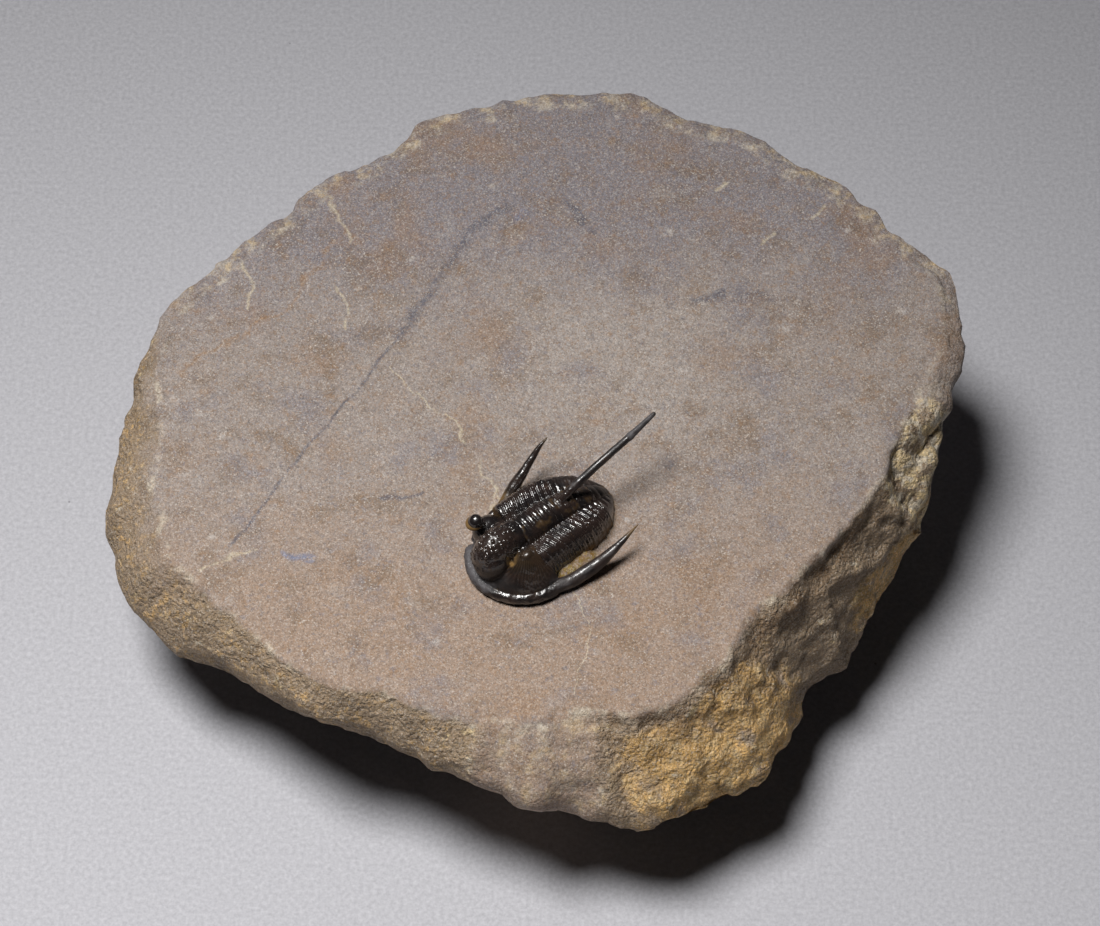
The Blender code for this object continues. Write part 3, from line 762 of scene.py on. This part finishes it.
def buildTrunk():
    # the ribbed loaf fused with the back spine, each point pushed along its normal by the fine relief
    t = trunkSizes
    loaf = loafSurface(t["start"], t["end"], 520, trunkRelief, t["floor"], t["edgeHeight"])
    points, quads = fuseSurfaces("trunk", [loaf, tubeSurface(backSpine, 200)], t["voxel"], 1)
    normals = skinNormals(points, quads)
    p, q, z = points.T
    mend = np.exp(-((p - 17.15) / 0.35) ** 2) * (z > 6)
    onBack = smoothStep(6.0, 5.4, z)
    crinkle = 0.032 * layeredNoise(points * (1.6, 0.8, 1), 0.7, 3, 73) * (0.35 + 0.65 * onBack)
    # the rear of the trunk is set with coarse granules
    distance, owner = nearestGrain(points, t["grainSpacing"], 77)
    grain = np.clip(1 - (distance / 0.2) ** 2, 0, 1) * (0.4 + 0.6 * latticeValue(owner, 81))
    crinkle = crinkle + t["grainHeight"] * grain * onBack * (0.35 + 0.65 * smoothStep(5.5, 8.5, p))
    points = points + normals * (crinkle + 0.05 * mend)[:, None]
    trunk = makeMesh("trunkSegments", toWorld(points), quads)
    paint(trunk, "hollow", hollowness(points, quads, 2))
    spineWear = smoothStep(5.2, 5.8, z) * (0.30 + 0.35 * softNoise(points * (0.4, 1.5, 1.5), 0.5, 87))
    lowFlank = smoothStep(2.1, 0.9, z) * smoothStep(2.0, 6.0, p) * (q < 0)
    rearDull = 0.28 * smoothStep(8.0, 9.4, p) * onBack * smoothStep(-1.6, 0.4, q - animalPlace["lean"] * z)
    paint(trunk, "wearAndSheen", np.clip(mend + smoothStep(17.0, 18.0, p) * 0.3 + spineWear + rearDull, 0, 1))
    spotty = layeredNoise(points, 0.9, 3, 79)
    onAxis = smoothStep(1.9, 1.2, np.abs(q - animalPlace["lean"] * z)) * onBack
    onAxis = onAxis * smoothStep(0.25, 0.8, spotty)
    farFront = smoothStep(5.2, 3.6, p) * smoothStep(3.2, 4.2, q) * smoothStep(3.9, 3.2, z)
    stain = lowFlank * (0.55 + 0.5 * spotty) + 0.20 * onAxis + farFront * (0.7 + 0.5 * spotty)
    paint(trunk, "ochre", np.clip(stain, 0, 1))
    return trunk


def buildTail():
    # the ribbed loaf of the tail, slightly uneven
    t = tailSizes
    points, quads, triangles = loafSurface(t["start"], t["end"], 130, tailRelief, t["floor"], 0.5)
    points = points + 0.012 * softNoise(points, 0.4, 83)[:, None] * (0, 0, 1)
    tail = makeMesh("tailPlate", toWorld(points), quads, triangles)
    p, q, z = points.T
    paint(tail, "hollow", np.zeros(len(points)))
    paint(tail, "wearAndSheen", 0.28 * smoothStep(-2.0, -0.5, q))
    stain = smoothStep(1.3, 0.5, z) * (0.45 + 0.7 * softNoise(points, 0.8, 89)) * smoothStep(1.5, -0.5, q)
    paint(tail, "ochre", np.clip(stain, 0, 1))
    return tail


headShield = buildHead()
trunkSegments = buildTrunk()
tailPlate = buildTail()
print("animal:", [len(thing.data.polygons) for thing in (headShield, trunkSegments, tailPlate)], "faces")


# Materials


def noise(place, size, detail=3.0, rough=0.6):
    # soft clouds from 0 to 1, one blotch about size millimetres wide
    return addNode(place.id_data, "TexNoise", None, Vector=place, Scale=1000.0 / size,
                   Detail=detail, Roughness=rough).outputs["Fac"]


def span(value, low, high, most=1.0):
    # 0 up to low, then rising softly to most at high
    return addNode(value.id_data, "MapRange", {"interpolation_type": "SMOOTHSTEP"}, Value=value,
                   From_Min=low, From_Max=high, To_Min=0.0, To_Max=most).outputs["Result"]


def tint(base, color, amount):
    # the second colour laid over the first, by an amount that a pattern gives
    return addNode(amount.id_data, "Mix", {"data_type": "RGBA"}, i0=amount, i6=base, i7=color).outputs[2]


def combine(operation, a, b):
    # a pattern and a second one, or a number, worked into one pattern
    return addNode(a.id_data, "Math", {"operation": operation}, i0=a, i1=b).outputs[0]


def times(a, b):
    return combine("MULTIPLY", a, b)


def plus(a, b):
    return combine("ADD", a, b)


def share(tree, name):
    # the pattern painted on the mesh under this name
    return addNode(tree, "Attribute", {"attribute_name": name}).outputs["Fac"]


def startMaterial(name, colors):
    # an empty material, its node tree, its colours made linear, and the place on the piece
    material = bpy.data.materials.new(name)
    material.use_nodes = True
    tree = material.node_tree
    tree.nodes.clear()
    linear = {key: hexToLinear(code) for key, code in colors.items()}
    return material, tree, linear, addNode(tree, "TexCoord").outputs["Object"]


stoneColors = {
    "warm": "#A89282", "grey": "#A39892", "cool": "#8B868C", "rust": "#9E7C5C", "umber": "#7F6B58",
    # the dark grey is for the dark silt grains and also the painted shade of the underside
    "pale": "#C4BCB6", "grain": "#E8E1D8", "dark": "#4A4542", "wall": "#AB957B", "wallDark": "#776753",
    # the brown on this line for the band under the near right edge is painted shade
    "gold": "#F2C47E", "goldPale": "#FBE0AC", "goldDark": "#92713C", "edgeShade": "#84694C", "chip": "#E8DCC6",
    "blue": "#585C6C", "vein": "#D8CBB0", "bruise": "#8288A0", "sandy": "#9C8446",
}

# the stone's patterns: width in millimetres, layers of finer detail, how strong those are
stoneClouds = {
    "cloud": (11, 5, 0.60), "patch": (7, 4, 0.60), "stain": (5, 5, 0.66), "blotch": (4.2, 5, 0.66),
    "spot": (3.1, 4, 0.64), "chip": (2.0, 5, 0.65), "crumb": (1.6, 5, 0.76), "dot": (1.3, 4, 0.60),
    "speck": (0.75, 3, 0.60), "grit": (0.55, 3, 0.60), "shade": (0.38, 3, 0.75), "tooth": (0.30, 2, 0.70),
}

# marks on the top face: colour; the pattern that breaks it up, from where, full where, how strong; then
# its routes in millimetres, each with its width, how far it wanders and its points
stoneMarks = (
    # the dark joint line that arcs up the face, and faint pieces of others
    ("blue", ("dot", 0.28, 0.56, 0.70), (
        (0.36, 0.3, (-33.5, -15.3), (-28.3, -7.0), (-15.3, 11.2)),
        (0.42, 0.6, (-17.0, -9.5), (-12.0, -9.2)),
        (1.05, 0.6, (-15.3, 11.2), (-7.5, 24.1), (-2.9, 27.6)),
        (0.90, 1.0, (18.2, 14.8), (21.5, 15.8)), (0.90, 1.0, (4.0, 27.9), (6.2, 24.0)))),
    # smudges
    ("blue", ("dot", 0.36, 0.66, 0.50), (
        (1.60, 1.0, (22.0, 15.4), (27.5, 14.6)), (1.60, 1.0, (14.4, -5.7), (14.7, -5.5)))),
    # pale calcite veins and scratches
    ("vein", ("speck", 0.30, 0.54, 0.72), (
        (0.20, 1.0, (-15.8, 6.7), (-12.9, 2.8), (-7.2, -2.4)),
        (0.20, 1.0, (-6.1, -4.9), (-4.7, -8.7), (-4.9, -12.4)),
        (0.20, 1.0, (-5.4, -7.0), (-2.6, -12.0)),
        (0.12, 1.0, (2.8, -19.3), (6.0, -24.9), (4.4, -33.2)),
        (0.34, 1.0, (-33.7, 21.1), (-32.5, 17.0), (-33.2, 15.0)),
        (0.34, 1.0, (-36.8, -18.0), (-30.8, -16.0)),
        (0.34, 1.0, (-22.2, 17.2), (-20.7, 12.0)), (0.34, 1.0, (-23.6, 29.2), (-21.8, 23.8)),
        (0.42, 0.6, (26.0, 22.2), (27.3, 23.6)), (0.42, 0.6, (31.3, 25.0), (33.2, 27.2)),
        (0.42, 0.6, (20.8, 29.0), (21.7, 30.1)))),
    # a rusty crack
    ("rust", ("dot", 0.30, 0.60, 0.70), (
        (0.45, 1.0, (-40.0, 7.2), (-32.3, 12.2), (-27.9, 16.0), (-22.4, 24.5)),)),
    # bluish bruises
    ("bruise", ("speck", 0.26, 0.52, 0.95), (
        (0.62, 0.6, (-27.8, -16.1), (-24.5, -17.0)), (1.20, 0.6, (-1.9, 26.2), (-1.7, 26.4)),
        (1.20, 0.6, (23.0, -27.4), (23.1, -27.3)))),
)


def limestoneMaterial():
    # fine-grained silty limestone, split and brushed clean: dull, sandy to the eye, brown-grey with
    # rusty and blue-grey clouds, ochre where iron has weathered the broken sides
    material, tree, c, place = startMaterial("brushed silty limestone", stoneColors)
    n = {name: noise(place, *values) for name, values in stoneClouds.items()}
    stir = addNode(tree, "TexNoise", None, Vector=place, Scale=260.0, Detail=3.0).outputs["Color"]
    stirred = {}

    def vectors(operation, *values):
        inputs = {f"i{k}": value for k, value in enumerate(values)}
        return addNode(tree, "VectorMath", {"operation": operation}, **inputs)

    def streak(start, end, width, wander):
        # a line on the top face that noise makes wander, as a mask: how near a place is to the nearest
        # place on the line, within the line's width
        if wander not in stirred:
            moved = vectors("MULTIPLY_ADD", stir, (wander * 4,) * 3, place).outputs[0]
            centred = (-wander * 2, -wander * 2, 0)
            stirred[wander] = vectors("MULTIPLY_ADD", moved, (1, 1, 0), centred).outputs[0]
        a, b = Vector((*start, 0.0)) * mm, Vector((*end, 0.0)) * mm
        way = (b - a).normalized()
        gap = vectors("SUBTRACT", stirred[wander], tuple(a)).outputs[0]
        along = vectors("DOT_PRODUCT", gap, tuple(way)).outputs["Value"]
        kept = addNode(tree, "Clamp", None, Value=along, Min=0.0, Max=(b - a).length).outputs[0]
        foot = vectors("MULTIPLY", kept, tuple(way)).outputs[0]
        return span(vectors("DISTANCE", gap, foot).outputs["Value"], width * mm, 0.0)

    def layered(color, layers):
        # colours laid over one another, each where its pattern is high
        for name, pattern, low, high, most in layers:
            color = tint(color, c[name], span(n[pattern], low, high, most))
        return color

    wall, under, gold, sandy = [share(tree, key + "Share") for key in ("wall", "under", "gold", "sandy")]
    edgeShade, sideShare, fleck, pale = [share(tree, key + "Share") for key in ("edgeShade", "side", "fleck", "pale")]

    # clouds of colour over the top: warmer in front, a cool grey band towards the back, a pale worn
    # middle, rusty, umber and grey patches 3 to 11 mm wide, rusty and grey specks under a millimetre
    height = addNode(tree, "SeparateXYZ", None, Vector=place).outputs["Y"]
    front = plus(height, times(n["cloud"], 0.030))
    color = tint(c["warm"], c["grey"], span(front, -0.012, 0.012))
    color = tint(color, c["cool"], span(front, 0.022, 0.042))
    middle = vectors("DISTANCE", place, (0.009, 0.008, 0.0224)).outputs["Value"]
    middle = plus(middle, times(n["patch"], 0.016))
    color = tint(color, c["pale"], span(middle, 0.026, 0.012, 0.30))
    color = layered(color, (
        ("rust", "cloud", 0.50, 0.70, 0.54), ("cool", "patch", 0.52, 0.70, 0.70),
        ("umber", "blotch", 0.48, 0.70, 0.62), ("pale", "spot", 0.56, 0.76, 0.36),
        ("rust", "dot", 0.54, 0.70, 0.42), ("rust", "grit", 0.54, 0.70, 0.36),
        ("cool", "speck", 0.56, 0.70, 0.60)))
    for name, (pattern, low, high, most), routes in stoneMarks:
        mask = None
        for width, wander, *points in routes:
            for start, end in zip(points, points[1:]):
                line = streak(start, end, width, wander * mm)
                mask = line if mask is None else combine("MAXIMUM", mask, line)
        color = tint(color, c[name], times(mask, span(n[pattern], low, high, most)))

    # small pale scars of the preparation tool, 0.5 to 1 mm, one about every 6 mm
    pick = addNode(tree, "TexVoronoi", None, Vector=place, Scale=1000.0 / 5.5).outputs["Distance"]
    pick = combine("SUBTRACT", pick, times(n["speck"], 0.36))
    color = tint(color, c["pale"], span(pick, -0.07, -0.16, 0.75))

    # the broken sides: the same brown as the top at the back, ochre-stained on the left and near right,
    # with painted brown shade under the edge of the near right, pale where chips are fresh
    side = tint(c["wall"], c["wallDark"], span(n["blotch"], 0.48, 0.70, 0.6))
    goldTone = layered(c["gold"], (
        ("goldPale", "dot", 0.45, 0.68, 0.70), ("goldDark", "chip", 0.50, 0.68, 0.75),
        ("goldDark", "blotch", 0.48, 0.64, 0.40), ("cool", "spot", 0.56, 0.68, 0.55)))
    goldMask = span(plus(gold, times(n["stain"], 2.1)), 1.48, 1.86)
    side = tint(side, goldTone, goldMask)
    flecks = times(span(n["speck"], 0.50, 0.62, 0.75), span(n["spot"], 0.36, 0.60))
    side = tint(side, goldTone, times(fleck, flecks))
    # painted shade: darker brown under the near right edge
    side = tint(side, c["edgeShade"], times(edgeShade, span(n["spot"], 0.38, 0.56, 0.7)))
    fresh = tint(c["chip"], c["goldPale"], span(n["dot"], 0.42, 0.56))
    chipped = plus(n["chip"], times(pale, 0.22))
    side = tint(side, fresh, span(chipped, 0.62, 0.70, 0.85))
    # painted shade: the underside and undercut are painted dark as shade under the overhang, which also keeps
    # light from bouncing into the floor's shadow
    side = tint(side, c["dark"], under)
    wallMask = span(plus(wall, n["chip"]), 0.75, 1.15)
    patchy = plus(sideShare, times(n["spot"], 1.1))
    sideMask = times(wallMask, span(patchy, 0.55, 1.35))
    color = tint(color, side, sideMask)
    # fresh pale chips along the very edge and on fresh breaks, sand beside the animal
    edgeBand = times(span(wall, 0.02, 0.35), span(wall, 1.0, 0.6))
    color = tint(color, c["chip"], times(edgeBand, span(n["chip"], 0.46, 0.66, 0.6)))
    color = tint(color, fresh, times(pale, span(n["chip"], 0.44, 0.66, 0.65)))
    sand = tint(c["sandy"], c["goldDark"], span(n["grit"], 0.46, 0.56))
    color = tint(color, sand, times(sandy, span(n["speck"], 0.30, 0.56)))

    # silt grains, really under 0.1 mm and drawn 0.13 mm wide so that they show: each its own grey, some
    # rusty, a few pale quartz and mica flecks whose glint is painted in as near-white colour
    grains = addNode(tree, "TexVoronoi", None, Vector=place, Scale=1000.0 / 0.13, Randomness=1.0)
    tone = addNode(tree, "SeparateXYZ", None, Vector=grains.outputs["Color"]).outputs
    color = tint(color, c["grain"], span(tone["X"], 0.50, 1.0, 0.28))
    color = tint(color, c["dark"], span(tone["Y"], 0.50, 1.0, 0.38))
    color = tint(color, c["rust"], span(tone["Z"], 0.60, 1.0, 0.40))
    # painted highlights: near-white flecks stand in for the glint of mica
    glints = times(span(tone["X"], 0.94, 0.97), span(n["blotch"], 0.40, 0.64, 0.35))
    color = tint(color, c["grain"], glints)
    value = addNode(tree, "MapRange", None, Value=n["shade"], From_Min=0.3, From_Max=0.7,
                    To_Min=0.79, To_Max=1.21).outputs["Result"]
    shade = addNode(tree, "HueSaturation", None, Color=color, Value=value).outputs["Color"]

    # relief too fine for the mesh: sandy tooth everywhere, crumbly lumps on the broken sides
    bend = addNode(tree, "TexNoise", None, Vector=place, Scale=900.0, Detail=0.0).outputs["Color"]
    bent = vectors("MULTIPLY_ADD", bend, (0.0009,) * 3, place).outputs[0]
    fine = addNode(tree, "Bump", None, Strength=0.5, Distance=0.00012, Height=n["tooth"])
    crumbs = addNode(tree, "TexVoronoi", None, Vector=bent, Scale=1000.0 / 0.55).outputs["Distance"]
    lumps = plus(n["crumb"], times(crumbs, -0.28))
    strength = plus(times(sideMask, 0.60), times(wallMask, 0.25))
    coarse = addNode(tree, "Bump", None, Distance=0.0010, Height=lumps,
                     Strength=plus(strength, 0.15), Normal=fine.outputs["Normal"])
    shader = addNode(tree, "BsdfPrincipled", None, Base_Color=shade, Roughness=0.82, IOR=1.5,
                     Specular_IOR_Level=0.35, Normal=coarse.outputs["Normal"])
    addNode(tree, "OutputMaterial", None, Surface=shader.outputs[0])
    return material


shellColors = {
    "black": "#211D1D", "brown": "#342925", "amber": "#5C4430", "ochre": "#8E6D38", "wearAndSheen": "#575457",
}


def shellMaterial():
    # black-brown calcite shell, air-abraded and lacquered: wet-looking gloss, amber where it is thin,
    # ochre dust left in the furrows
    material, tree, c, place = startMaterial("lacquered calcite shell", shellColors)
    ochre, wearAndSheen = share(tree, "ochre"), share(tree, "wearAndSheen")
    color = tint(c["black"], c["brown"], span(noise(place, 2.2, 3, 0.55), 0.38, 0.62))
    color = tint(color, c["amber"], span(noise(place, 1.1, 4, 0.6), 0.62, 0.80, 0.6))
    color = tint(color, c["ochre"], span(share(tree, "hollow"), 0.010, 0.035, 0.35))
    color = tint(color, c["ochre"], ochre)
    # grey where worn, in part a painted sheen on the head's border and near spine
    color = tint(color, c["wearAndSheen"], span(wearAndSheen, 0.34, 0.95))
    # dust and wear take the gloss away
    dull = combine("MAXIMUM", ochre, wearAndSheen)
    roughness = addNode(tree, "MapRange", None, Value=dull, From_Min=0.0, From_Max=0.6,
                        To_Min=0.27, To_Max=0.66).outputs["Result"]
    coat = addNode(tree, "MapRange", None, Value=dull, From_Min=0.0, From_Max=0.35,
                   To_Min=1.0, To_Max=0.04).outputs["Result"]
    bump = addNode(tree, "Bump", None, Strength=0.5, Distance=0.00007,
                   Height=noise(place, 0.26, 2, 0.6))
    shader = addNode(tree, "BsdfPrincipled", None, Base_Color=color, Roughness=roughness, IOR=1.6,
                     Normal=bump.outputs["Normal"], Coat_Weight=coat, Coat_Roughness=0.11)
    addNode(tree, "OutputMaterial", None, Surface=shader.outputs[0])
    return material


paperColors = {"dip": "#98989E", "crest": "#DEDEE4", "dust": "#4A4A50"}


def paperMaterial():
    # matte photographic background card: flat pale grey with a fine felt tooth, a little dust
    material, tree, c, place = startMaterial("matte background card", paperColors)
    color = tint(c["dip"], c["crest"], noise(place, 0.5, 4.0, 0.7))
    dust = addNode(tree, "TexVoronoi", None, Vector=place, Scale=1000.0 / 9.0).outputs["Distance"]
    speck = addNode(tree, "MapRange", None, Value=dust, From_Min=0.018, From_Max=0.010,
                    To_Min=0.0, To_Max=0.55).outputs["Result"]
    color = tint(color, c["dust"], speck)
    shader = addNode(tree, "BsdfPrincipled", None, Base_Color=color, Roughness=0.75)
    addNode(tree, "OutputMaterial", None, Surface=shader.outputs[0])
    return material


limestone = limestoneMaterial()
shell = shellMaterial()
stoneBlock.data.materials.append(limestone)
for plate in (headShield, trunkSegments, tailPlate):
    plate.data.materials.append(shell)
print("materials made")

for piece, node, slotName in (
    (stoneBlock, "matrix_stone", "limestone"),
    (headShield, "cephalon", "fossil_shell"),
    (trunkSegments, "thorax", "fossil_shell"),
    (tailPlate, "pygidium", "fossil_shell"),
):
    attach(piece, "root")
    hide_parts(node)


# Floor, light and camera

viewSizes = {
    "target": (1.685, -5.471, 22.3),  # mm, the point at the middle of the frame
    "distance": 480.0,
    "elevation": 60.0,
    "lens": 141.4,  # mm on a 36 mm wide sensor
    "keyDistance": 741.0,
    "keyWay": (-0.285, 0.115, 0.951),
    "keyRadius": 150.0,
    "keyAim": (-42.0, -124.0, 0.0),  # the beam's middle falls in front of the stone, so the back is dimmer
    "keySpread": 48.0,
    "keyPower": 28.9,
    "skyStrength": 0.009,
}


def buildFloor():
    # a flat square of card under the stone, 3 m wide
    half = 1.5
    corners = np.array([(-half, -half, 0), (half, -half, 0), (half, half, 0), (-half, half, 0)])
    floor = makeMesh("backgroundCard", corners, np.array([[0, 1, 2, 3]]))
    floor.data.materials.append(paperMaterial())


def buildLight():
    # one wide soft lamp high up and a little to the left, and a faint blue sky
    v = viewSizes
    aim = Vector(v["keyAim"]) * mm
    lamp = bpy.data.lights.new("softKey", "SPOT")
    lamp.energy = v["keyPower"]
    lamp.shadow_soft_size = v["keyRadius"] * mm
    lamp.spot_size = math.radians(v["keySpread"])
    lamp.spot_blend = 1.0
    lamp.color = (1.0, 0.985, 0.965)
    key = bpy.data.objects.new("softKey", lamp)
    key.location = Vector(v["keyWay"]).normalized() * v["keyDistance"] * mm
    key.rotation_euler = (aim - key.location).to_track_quat("-Z", "Y").to_euler()
    bpy.context.scene.collection.objects.link(key)
    world = bpy.data.worlds.new("dim studio")
    world.use_nodes = True
    world.node_tree.nodes["Background"].inputs["Color"].default_value = (0.74, 0.82, 1.0, 1.0)
    world.node_tree.nodes["Background"].inputs["Strength"].default_value = v["skyStrength"]
    bpy.context.scene.world = world


def buildCamera():
    # looks at the target from its distance, tilted down by its elevation
    v = viewSizes
    tilt = math.radians(v["elevation"])
    ahead = Vector((0.0, math.cos(tilt), -math.sin(tilt)))
    lens = bpy.data.cameras.new("photoView")
    lens.lens = v["lens"]
    lens.sensor_width = 36.0
    lens.clip_start = 0.01
    camera = bpy.data.objects.new("photoView", lens)
    camera.location = Vector(v["target"]) * mm - ahead * v["distance"] * mm
    camera.rotation_euler = ahead.to_track_quat("-Z", "Y").to_euler()
    bpy.context.scene.collection.objects.link(camera)
    bpy.context.scene.camera = camera


buildFloor()
buildLight()
buildCamera()
bpy.context.scene.view_settings.view_transform = "Standard"
print("stage set")
